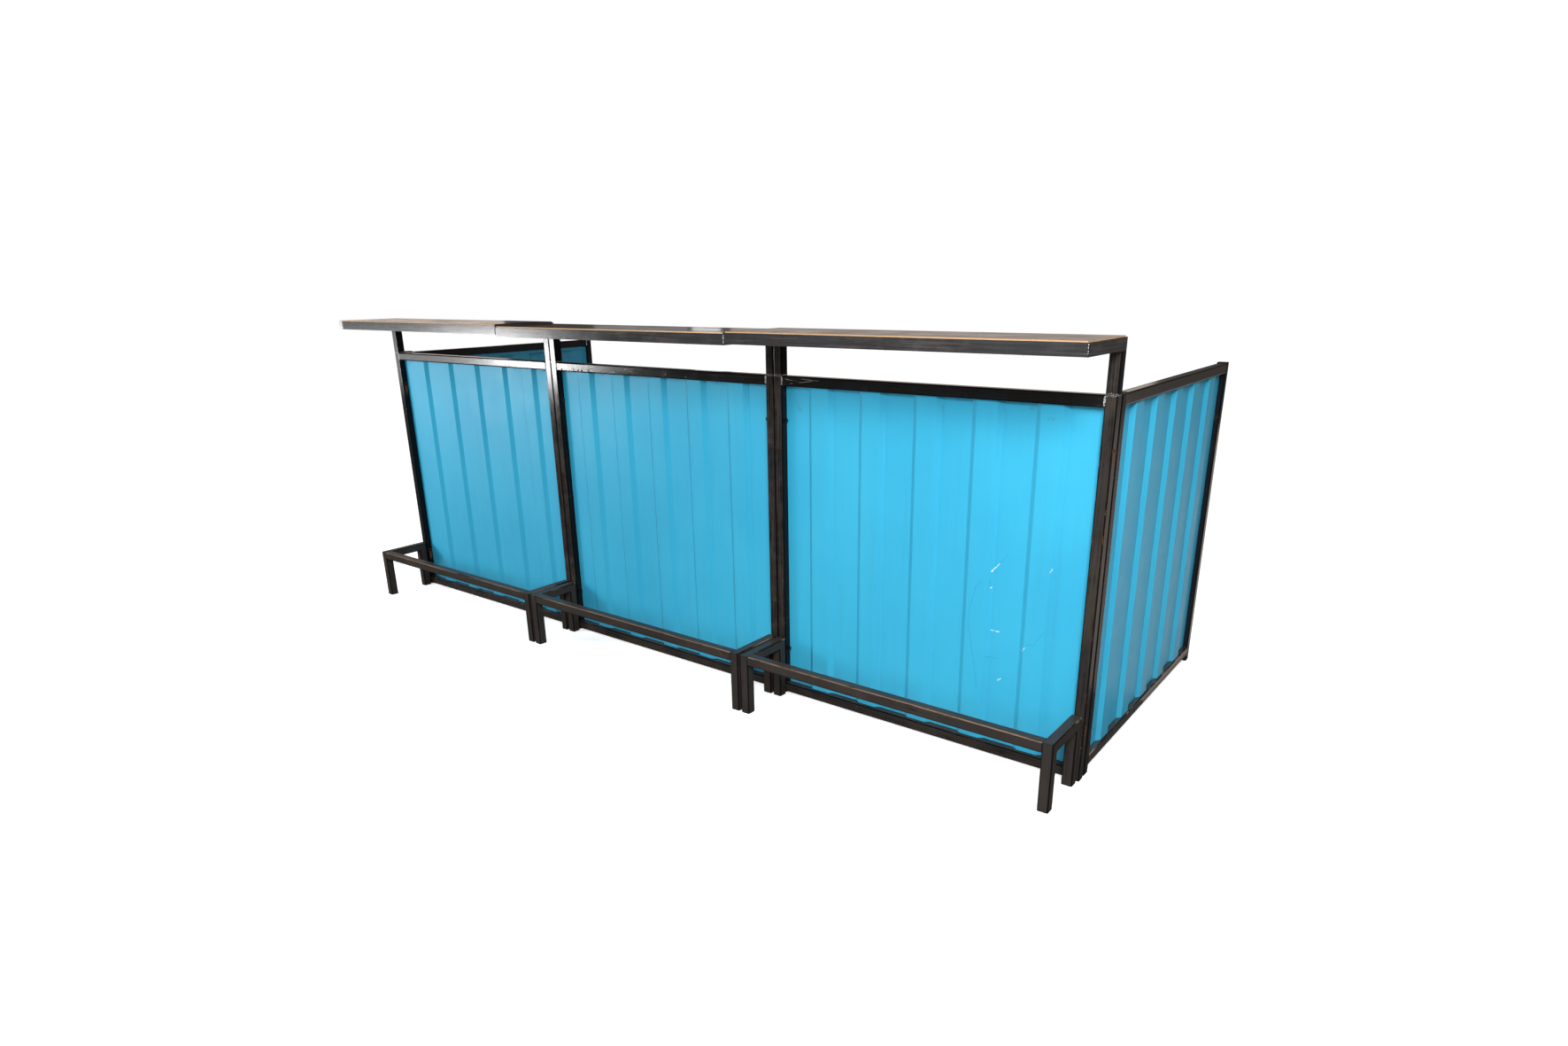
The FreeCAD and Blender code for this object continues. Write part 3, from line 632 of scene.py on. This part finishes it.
def finishes():
    """Finishes by the endings of nodes' names, and those of single nodes."""
    upright = steel("raw_steel_upright", "z", brown=0.30, rust=0.10, ground=True, painted_shade_sides=True)
    wing_post = steel("raw_steel_wing_post", "z", brown=0.26, rust=0.10, shine=0.08, dull=0.15)
    # Near-black steel for the wings' rear posts: painted shade, for posts that stand in shade.
    black_post = steel("raw_steel_black_post", "z", brown=0.02, rust=0.05)
    end_post = steel("raw_steel_end_post", "z", brown=0.38, rust=0.60, stains=True, ground=True,
                     shine=0.08, dull=0.12)
    left_post = steel("raw_steel_left_post", "z", brown=0.06, rust=0.30, stains=True, ground=True,
                      painted_shade_sides=True)
    level_x = steel("raw_steel_level", "x", brown=0.12, rust=0.05)
    low_rail = steel("raw_steel_low_rail", "x", brown=0.42, rust=0.10, worn_and_highlit=0.35, shine=0.2)
    # Lighter brown and wide light edges on the wings' bottom rails: painted light that lifts their
    # shade.
    wing_foot = steel("raw_steel_wing_foot", "y", brown=0.48, rust=0.15, worn_and_highlit=0.60, shine=0.7,
                      dull=0.02)
    spotted = steel("raw_steel_spotted_rail", "x", brown=0.16, rust=0.10, rust_spots=RAIL_SPOTS,
                    bare_spots=BARE_SPOTS)
    scratched = steel("raw_steel_scratched_rail", "x", brown=0.12, rust=0.05,
                      scratches=RAIL_SCRATCHES)
    brown_rail = steel("raw_steel_wing_level", "y", brown=0.62, rust=0.05, shine=0.6)
    # Near-black steel for the left wing's top rail: painted shade on its shaded inner side.
    black_rail = steel("raw_steel_black_rail", "y", brown=0.04, rust=0.05)
    foot_rail = steel("raw_steel_foot_rail", "x", brown=0.46, rust=0.15, worn_and_highlit=0.80, shine=0.12,
                      dull=0.20)
    side_frame = steel("raw_steel_side_frame", "frame", brown=0.46, rust=0.20, worn_and_highlit=0.60,
                       shine=0.12, dull=0.20)
    angles = steel("counter_steel", "ring", brown=0.24, tones=ANGLE_TONES)
    patched = steel("counter_steel_patched", "ring", brown=0.24, tones=ANGLE_TONES,
                    patch=CORNER_PATCH)
    sheet = painted_sheet("blue_sheet", (0, 1, 0))
    marked_sheet = painted_sheet("blue_sheet_marked", (0, 1, 0), CHIPS, SCORES, SMEARS)
    left_sheet = painted_sheet("blue_sheet_left_wing", (1, 0, 0))
    right_sheet = painted_sheet("blue_sheet_right_wing", (-1, 0, 0))
    film_board = board("counter_board", True)
    open_board = board("counter_board_open_ends", False)
    caps = plastic()
    fasteners = zinc()
    hinges = hinge_steel()
    by_ending = {
        "_post": upright,
        "_risers": upright,
        "_footrest_front_rail": foot_rail,
        "_bottom_rail": low_rail,
        "_footrest_side_frames": side_frame,
        "_counter_frame": angles,
        "_counter_board": film_board,
        "_sheet": sheet,
        "sheet_strips": sheet,
        "sheet_rivets": sheet,
        "end_caps": caps,
        "board_screws": fasteners,
        "footrest_bolts": fasteners,
        "footrest_spacers": fasteners,
        "footrest_rivet_nuts": fasteners,
        "coupling_bolts": fasteners,
        "coupling_nuts": fasteners,
        "hinge_fixed_leaves": hinges,
        "hinge_leaves": hinges,
        "hinge_pins": hinges,
        "_rail": level_x,
    }
    alone = {
        "module_1_left_post": left_post,
        "module_1_counter_frame": patched,
        "module_2_top_rail": spotted,
        "module_3_right_post": end_post,
        "module_3_top_rail": scratched,
        "module_3_sheet": marked_sheet,
        "module_3_counter_board": open_board,
        "left_wing_top_rail": black_rail,
        "right_wing_top_rail": brown_rail,
    }
    for prefix, wing_sheet in (("left_wing_", left_sheet), ("right_wing_", right_sheet)):
        alone[prefix + "front_post"] = wing_post
        alone[prefix + "rear_post"] = black_post
        alone[prefix + "bottom_rail"] = wing_foot
        alone[prefix + "sheet"] = wing_sheet
        alone[prefix + "sheet_strips"] = wing_sheet
    return by_ending, alone


def dress_nodes():
    """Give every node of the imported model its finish."""
    by_ending, alone = finishes()
    for name, node in nodes.items():
        shared = (finish for ending, finish in by_ending.items() if name.endswith(ending))
        finish = alone[name] if name in alone else next(shared)
        for slot in node.material_slots:
            slot.material = finish


# Weld beads

# Sizes of common beads, flat seams, corner beads, tacks and the hinges' beads
BEAD_WIDTH = 0.0055
BEAD_HEIGHT = 0.0016
SEAM_WIDTH = 0.0030
SEAM_HEIGHT = 0.0008
CORNER_BEAD_WIDTH = 0.0022
TACK_LENGTH = 0.014
TACKS_PER_SIDE = 4
HINGE_BEAD_HEIGHT = HINGE_LEAF * 0.6
# Depth of beads in the steel, and their distance from the tubes' bends and from the flat bars
BEAD_SINK = 0.0003
RIDGE_SINK = 0.0003
BEAD_EDGE = 0.003
INNER_WELD_CLEARANCE = 0.010
# Mesh of a bead: rings along its ripples and steps across it
RIPPLE_PITCH = 0.0016
RINGS_PER_RIPPLE = 3
LEAST_RINGS = 6
ARC_STEPS = 7
# Shape of a bead: ends that swell, ripples that rise and bow, unevenness and drift sideways
END_START = 0.0004
END_LENGTH = 0.6
RIPPLE_TROUGH = 0.72
RIPPLE_BOW = 0.6
MEAN_WIDTH = 0.92
UNEVENNESS = 0.06
DRIFT = 0.07
DRIFT_RUN = 0.9
# Seeds of the unevenness; a module's number is added to the first three
FRAME_SEED = 10
COUNTER_SEED = 20
FOOTREST_SEED = 30
HINGE_SEED = 40
RIGHT_WING_SEED = 41
LEFT_WING_SEED = 42
# Place of beads that are given in the model's own frame
UNMOVED = Matrix.Identity(4)


class Welds:
    """Weld beads of one part of the bar, gathered into one mesh."""

    def __init__(self, name, body, seed, place=UNMOVED):
        self.name = name
        self.body = body
        self.place = place
        self.draw = random.Random(seed)
        self.mesh = bmesh.new()

    def bead(self, start, end, out, width=BEAD_WIDTH, height=BEAD_HEIGHT):
        """Rippled bead from start to end that bulges towards out."""
        start = Vector(start)
        run = Vector(end) - start
        along = run.normalized()
        out = Vector(out).normalized()
        side = out.cross(along)
        count = max(LEAST_RINGS, round(run.length / RIPPLE_PITCH) * RINGS_PER_RIPPLE)
        sway = self.draw.uniform(0, 2 * math.pi)
        rings = []
        for index in range(count + 1):
            distance = run.length * index / count
            end_distance = min(distance, run.length - distance)
            swell = math.sqrt(min(1.0, (end_distance + END_START) / (width * END_LENGTH)))
            ripple = (index % RINGS_PER_RIPPLE) / RINGS_PER_RIPPLE
            rise = RIPPLE_TROUGH + (1 - RIPPLE_TROUGH) * ripple
            tall = height * swell * (rise + self.draw.uniform(-UNEVENNESS, UNEVENNESS))
            wide = width / 2 * swell * (MEAN_WIDTH + self.draw.uniform(-UNEVENNESS, UNEVENNESS))
            drift = width * DRIFT * math.sin(sway + distance / (width * DRIFT_RUN))
            centre = start + along * distance + side * drift - out * BEAD_SINK
            ring = []
            for step in range(ARC_STEPS + 1):
                angle = math.pi * step / ARC_STEPS
                bow = along * (RIPPLE_PITCH * RIPPLE_BOW * math.sin(angle) * swell)
                sidewise = side * (wide * math.cos(angle))
                outward = out * (tall * math.sin(angle))
                point = centre + bow + sidewise + outward
                ring.append(self.mesh.verts.new(self.place @ point))
            rings.append(ring)
        for ring, following in zip(rings, rings[1:]):
            for step in range(ARC_STEPS + 1):
                beside = (step + 1) % (ARC_STEPS + 1)
                self.mesh.faces.new((ring[step], ring[beside], following[beside], following[step]))
        self.mesh.faces.new(rings[0][::-1])
        self.mesh.faces.new(rings[-1])

    def finish(self, material):
        """Make the object, smooth all over, and let it ride on its body."""
        bmesh.ops.recalc_face_normals(self.mesh, faces=self.mesh.faces)
        data = bpy.data.meshes.new(self.name)
        self.mesh.to_mesh(data)
        self.mesh.free()
        data.shade_smooth()
        data.materials.append(material)
        piece = added(self.name, data)
        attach(piece, self.body)


def panel_beads(welds, width, lift, strip_back, outer):
    """Beads between rails and posts of a panel in its own frame; outer also welds its front."""
    top_low = panel_top - tube
    rails = ((lift, lift + tube, 1), (top_low, top_low, -1))
    for x, inward in ((tube, 1), (width - tube, -1)):
        for rail_low, inner_height, inner_way in rails:
            foot = rail_low + BEAD_EDGE
            head = rail_low + tube - BEAD_EDGE
            if outer:
                welds.bead((x, 0, foot), (x, 0, head), (0, -1, 0))
            welds.bead((x, tube, foot), (x, tube, head), (0, 1, 0))
            inner_start = (x, BEAD_EDGE, inner_height)
            inner_end = (x, strip_back - INNER_WELD_CLEARANCE, inner_height)
            welds.bead(inner_start, inner_end, (inward, 0, inner_way))
        for index in range(TACKS_PER_SIDE):
            height = lift + tube + (panel_top - lift - 2 * tube) * (index + 0.5) / TACKS_PER_SIDE
            start = (x, strip_back, height)
            welds.bead(start, (x, strip_back, height + TACK_LENGTH), (inward, 1, 0))
    for index in range(TACKS_PER_SIDE):
        across = tube + (width - 2 * tube) * (index + 0.5) / TACKS_PER_SIDE
        for height, way in ((lift + tube, 1), (top_low, -1)):
            start = (across, strip_back, height)
            welds.bead(start, (across + TACK_LENGTH, strip_back, height), (0, 1, way))


def riser_beads(welds, width, counter_base):
    """Beads at the feet and heads of a module's two risers."""
    ends = ((panel_top, tube, (0, 1, 0), 1), (counter_base, 0, (0, -1, -1), -1))
    for low, inner, inward in ((0, tube, 1), (width - tube, width - tube, -1)):
        near = low + BEAD_EDGE
        far = low + tube - BEAD_EDGE
        for height, face, out, up in ends:
            welds.bead((near, face, height), (far, face, height), out)
            inner_end = (inner, tube - BEAD_EDGE, height)
            welds.bead((inner, BEAD_EDGE, height), inner_end, (inward, 0, up))


def counter_beads(welds, low, high):
    """Beads on a counter frame's four mitred corners, in their bevels and across the underside."""
    angle_leg = high.z - low.z
    for x, inward in ((low.x, 1), (high.x, -1)):
        for y, backward in ((low.y, 1), (high.y, -1)):
            corner = Vector((x + inward * COUNTER_BEVEL, y + backward * COUNTER_BEVEL, 0))
            foot = corner + Vector((0, 0, low.z + SEAM_WIDTH))
            head = corner + Vector((0, 0, high.z - BEAD_EDGE))
            welds.bead(foot, head, (-inward, -backward, 0), CORNER_BEAD_WIDTH, SEAM_HEIGHT)
            outer = Vector((x + inward * SEAM_WIDTH, y + backward * SEAM_WIDTH, low.z))
            inner = Vector((x + inward * angle_leg, y + backward * angle_leg, low.z))
            welds.bead(outer, inner, (0, 0, -1), SEAM_WIDTH, SEAM_HEIGHT)


def footrest_beads(welds, rail, frames):
    """Beads on a foot rest: front rail to side frames, and the frames' mitred corners."""
    rail_low, rail_high = rail
    frame_low, frame_high = frames
    top = rail_high.z
    under = rail_low.z
    for x, inward in ((rail_low.x, 1), (rail_high.x, -1)):
        low = under + BEAD_EDGE
        high = top - BEAD_EDGE
        near = rail_low.y + BEAD_EDGE
        far = rail_high.y - BEAD_EDGE
        welds.bead((x, rail_low.y, low), (x, rail_low.y, high), (0, -1, 0), SEAM_WIDTH, SEAM_HEIGHT)
        welds.bead((x, near, top), (x, far, top), (0, 0, 1), SEAM_WIDTH, SEAM_HEIGHT)
        welds.bead((x, near, under), (x, far, under), (inward, 0, -1))
        welds.bead((x, rail_high.y, low), (x, rail_high.y, high), (inward, 1, 0))
    for left in (frame_low.x, frame_high.x - tube):
        right = left + tube
        for outer, way in ((frame_low.y, 1), (frame_high.y, -1)):
            upper = Vector((0, outer + way * BEAD_EDGE, top - BEAD_EDGE))
            lower = Vector((0, outer + way * (tube - BEAD_EDGE), under + BEAD_EDGE))
            for face, out in ((left, -1), (right, 1)):
                across = Vector((face, 0, 0))
                welds.bead(across + upper, across + lower, (out, 0, 0), SEAM_WIDTH, SEAM_HEIGHT)
            ridge = Vector((0, outer + way * RIDGE_SINK, top - RIDGE_SINK))
            start = ridge + Vector((left + BEAD_EDGE, 0, 0))
            end = ridge + Vector((right - BEAD_EDGE, 0, 0))
            welds.bead(start, end, (0, -way, 1), SEAM_WIDTH, SEAM_HEIGHT)


def hinge_beads(welds, leaves, face, way):
    """Beads round the leaves on one face of a post, where way is the leaves' side of it."""
    low, high = leaves
    outward = math.copysign(1, low.x + high.x)
    end = high.x if outward > 0 else low.x
    post_inner = outward * (cad_high.x - tube + BEAD_EDGE)
    size = (SEAM_WIDTH, HINGE_BEAD_HEIGHT)
    for base in (low.z, high.z - HINGE_HEIGHT):
        top = base + HINGE_HEIGHT
        welds.bead((end, face, base), (end, face, top), (outward, way, 0), *size)
        for height, up in ((base, -1), (top, 1)):
            welds.bead((post_inner, face, height), (end, face, height), (0, way, up), *size)


def weld_everything():
    """Weld beads of the three modules, the two wings and the hinges."""
    material = weld_metal()
    for index, prefix in enumerate(module_prefixes):
        left_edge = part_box(prefix + "left_post")[0].x
        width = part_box(prefix + "right_post")[1].x - left_edge
        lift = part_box(prefix + "bottom_rail")[0].z
        counter_low, counter_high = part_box(prefix + "counter_frame")
        place = Matrix.Translation((left_edge, post_front, 0))
        frame_welds = Welds(prefix + "frame_welds", "front_bar", FRAME_SEED + index, place)
        panel_beads(frame_welds, width, lift, module_strip_back, True)
        riser_beads(frame_welds, width, counter_low.z)
        frame_welds.finish(material)
        counter_welds = Welds(prefix + "counter_welds", "front_bar", COUNTER_SEED + index)
        counter_beads(counter_welds, counter_low, counter_high)
        counter_welds.finish(material)
        foot_welds = Welds(prefix + "footrest_welds", "front_bar", FOOTREST_SEED + index)
        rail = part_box(prefix + "footrest_front_rail")
        footrest_beads(foot_welds, rail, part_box(prefix + "footrest_side_frames"))
        foot_welds.finish(material)
    fixed_low, fixed_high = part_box("hinge_fixed_leaves")
    fixed_welds = Welds("hinge_fixed_welds", "front_bar", HINGE_SEED)
    middle = Vector((0, fixed_low.y, fixed_low.z))
    for leaves in ((middle, fixed_high), (fixed_low, Vector((0, fixed_high.y, fixed_high.z)))):
        hinge_beads(fixed_welds, leaves, post_front + tube, 1)
    fixed_welds.finish(material)
    for side, turn, seed in (("right", 90, RIGHT_WING_SEED), ("left", -90, LEFT_WING_SEED)):
        prefix = side + "_wing_"
        front_low, front_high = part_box(prefix + "front_post")
        rear_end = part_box(prefix + "rear_post")[1].y
        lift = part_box(prefix + "bottom_rail")[0].z
        strip_low, strip_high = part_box(prefix + "sheet_strips")
        outer_x = front_high.x if turn > 0 else front_low.x
        strip_back = outer_x - strip_low.x if turn > 0 else strip_high.x - outer_x
        first_y = front_low.y if turn > 0 else rear_end
        turned = Matrix.Rotation(math.radians(turn), 4, "Z")
        place = Matrix.Translation((outer_x, first_y, 0)) @ turned
        wing_welds = Welds(prefix + "welds", prefix[:-1], seed, place)
        panel_beads(wing_welds, rear_end - front_low.y, lift, strip_back, False)
        wing_welds.place = UNMOVED
        hinge_beads(wing_welds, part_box(prefix + "hinge_leaves"), front_low.y, -1)
        wing_welds.finish(material)


# Studio

FLOOR_HALF = 16.0
FLOOR_DROP = 0.0005
BACKDROP_RADIUS = 60.0
HALL_RADIUS = 50.0
AMBIENT = (0.225, 0.229, 0.238, 1)
HALL_COLOUR = (0.074, 0.068, 0.063, 1)
FLOOR_DIM = (0.88, 0.88, 0.88, 1)
FLOOR_PALE = (0.90, 0.90, 0.90, 1)
FLOOR_GLOW = 0.55
WIDE_ANGLE = math.radians(100)
WHITE = (1, 1, 1)
WARM_GREY = (1.0, 0.86, 0.77)

KEY_PLACE = (2.35, -2.5, 2.3)
KEY_TARGET = (1.3, -0.4, 0.6)
KEY_SIZE = (1.2, 1.2)
# Light on matt surfaces only: name, place, target, width and height, radiance and spread
FILLS = (
    ("key", KEY_PLACE, KEY_TARGET, KEY_SIZE, 13.0, 120),
    ("left_fill", (-2.6, -2.4, 1.15), (-1.0, -0.4, 0.6), (1.0, 0.8), 19.6, 180),
    ("middle_fill", (0.6, -3.0, 0.9), (0.6, -0.4, 0.6), (0.8, 0.8), 3.8, 180),
)
# What the gloss shows of a studio: name, place, target, width and height, radiance and colour
GLEAMS = (
    ("key_gloss", KEY_PLACE, KEY_TARGET, KEY_SIZE, 5.0, WHITE),
    ("left_window", (-4.9, -2.75, 0.732), (-0.8, -0.3, 0.8), (1.0, 0.465), 3.4, WHITE),
    ("left_pane", (-3.72, -2.87, 0.730), (-0.7, -0.3, 0.8), (0.6, 0.35), 39.0, WHITE),
    ("back_right", (-1.0, 3.0, 1.7), (-1.0, 0.0, 1.7), (3.2, 1.4), 0.5, WARM_GREY),
    ("back_middle", (-2.85, 3.0, 1.7), (-2.85, 0.0, 1.7), (0.3, 1.4), 0.9, WHITE),
    ("back_dim", (-3.6, 3.0, 1.7), (-3.6, 0.0, 1.7), (1.1, 1.4), 0.25, WHITE),
    ("back_left", (-6.9, 3.0, 1.7), (-6.9, 0.0, 1.7), (3.0, 1.4), 0.85, WARM_GREY),
    ("right_floor", (3.3, 3.5, -0.05), (3.3, 3.5, 1.0), (3.5, 6.4), 0.60, WARM_GREY),
)


def added(name, data):
    """New object in the scene."""
    made = bpy.data.objects.new(name, data)
    bpy.context.scene.collection.objects.link(made)
    return made


def area_light(name, place, target, size, radiance, colour=WHITE, spread=180, gloss=False):
    """Soft light of that width and height at place, towards target, for matt or for gloss."""
    data = bpy.data.lights.new(name, "AREA")
    data.shape = "RECTANGLE"
    data.size, data.size_y = size
    data.energy = radiance * math.pi * size[0] * size[1]
    data.color = colour
    data.spread = math.radians(spread)
    light = added(name, data)
    light.location = place
    light.rotation_euler = (Vector(target) - Vector(place)).to_track_quat("-Z", "Y").to_euler()
    light.visible_camera = False
    light.visible_diffuse = not gloss
    light.visible_glossy = gloss


def wide_light(name, tilt, strength):
    """Even light as wide as a studio's ceiling or wall, turned from overhead about X by tilt."""
    data = bpy.data.lights.new(name, "SUN")
    data.energy = strength
    data.angle = WIDE_ANGLE
    light = added(name, data)
    light.rotation_euler = (math.radians(tilt), 0, 0)
    light.visible_camera = False
    light.visible_glossy = False


def plain_floor():
    """Pale floor just under the feet, which glows a little and isn't seen in the gloss."""
    mesh = bpy.data.meshes.new("floor")
    corners = [(-1, -1), (1, -1), (1, 1), (-1, 1)]
    points = [(x * FLOOR_HALF, y * FLOOR_HALF, -FLOOR_DROP) for x, y in corners]
    mesh.from_pydata(points, [], [(0, 1, 2, 3)])
    floor = added("floor", mesh)
    floor.visible_diffuse = False
    floor.visible_glossy = False
    s = Shader("pale_floor")
    tone = s.noise(s.place, 1.5, 3.0)
    mesh.materials.append(s.wear(
        Base_Color=s.mix(tone, FLOOR_DIM, FLOOR_PALE),
        Roughness=0.85,
        Specular_IOR_Level=0.0,
        Emission_Color=(1, 1, 1, 1),
        Emission_Strength=FLOOR_GLOW,
    ))


def surround(name, radius, colour):
    """Distant shell all round that only glows."""
    mesh = bpy.data.meshes.new(name)
    shape = bmesh.new()
    bmesh.ops.create_icosphere(shape, subdivisions=3, radius=radius)
    shape.to_mesh(mesh)
    shape.free()
    shell = added(name, mesh)
    shell.visible_diffuse = False
    shell.visible_transmission = False
    shell.visible_shadow = False
    s = Shader(name)
    mesh.materials.append(s.wear(
        Base_Color=(0, 0, 0, 1),
        Specular_IOR_Level=0.0,
        Emission_Color=colour,
        Emission_Strength=1.0,
    ))
    return shell


def studio():
    """Floor, white backdrop, dim hall that the gloss shows, and plain soft light."""
    world = bpy.data.worlds.new("studio")
    world.use_nodes = True
    world.node_tree.nodes["Background"].inputs["Color"].default_value = AMBIENT
    bpy.context.scene.world = world
    world.cycles_visibility.glossy = False
    plain_floor()
    surround("backdrop", BACKDROP_RADIUS, (1, 1, 1, 1)).visible_glossy = False
    surround("hall", HALL_RADIUS, HALL_COLOUR).visible_camera = False
    wide_light("overhead", 0, 0.8)
    wide_light("rear_fill", -70, 0.7)
    for name, place, target, size, radiance, spread in FILLS:
        area_light(name, place, target, size, radiance, spread=spread)
    for name, place, target, size, radiance, colour in GLEAMS:
        area_light(name, place, target, size, radiance, colour, gloss=True)
    bpy.context.scene.view_settings.view_transform = "Standard"


def camera():
    """Camera at the photograph's place, aim and framing."""
    ahead = Vector((-math.sin(CAMERA_HEADING), math.cos(CAMERA_HEADING), 0))
    right = Vector((math.cos(CAMERA_HEADING), math.sin(CAMERA_HEADING), 0))
    up = Vector((0, 0, 1))
    aim = ahead * math.cos(CAMERA_PITCH) - up * math.sin(CAMERA_PITCH)
    over = up * math.cos(CAMERA_PITCH) + ahead * math.sin(CAMERA_PITCH)
    side = right * math.cos(CAMERA_ROLL) + over * math.sin(CAMERA_ROLL)
    top = over * math.cos(CAMERA_ROLL) - right * math.sin(CAMERA_ROLL)
    data = bpy.data.cameras.new("camera")
    data.sensor_fit = "HORIZONTAL"
    data.sensor_width = SENSOR_WIDTH
    data.lens = FOCAL_PIXELS * SENSOR_WIDTH / PHOTO_WIDTH
    data.shift_x = (PHOTO_WIDTH / 2 - CENTRE_PIXEL[0]) / PHOTO_WIDTH
    data.shift_y = (CENTRE_PIXEL[1] - PHOTO_HEIGHT / 2) / PHOTO_WIDTH
    made = added("camera", data)
    turn = Matrix((side, top, -aim)).transposed()
    made.matrix_world = Matrix.Translation(CAMERA_PLACE) @ turn.to_4x4()
    bpy.context.scene.camera = made


dress_nodes()
weld_everything()
studio()
camera()
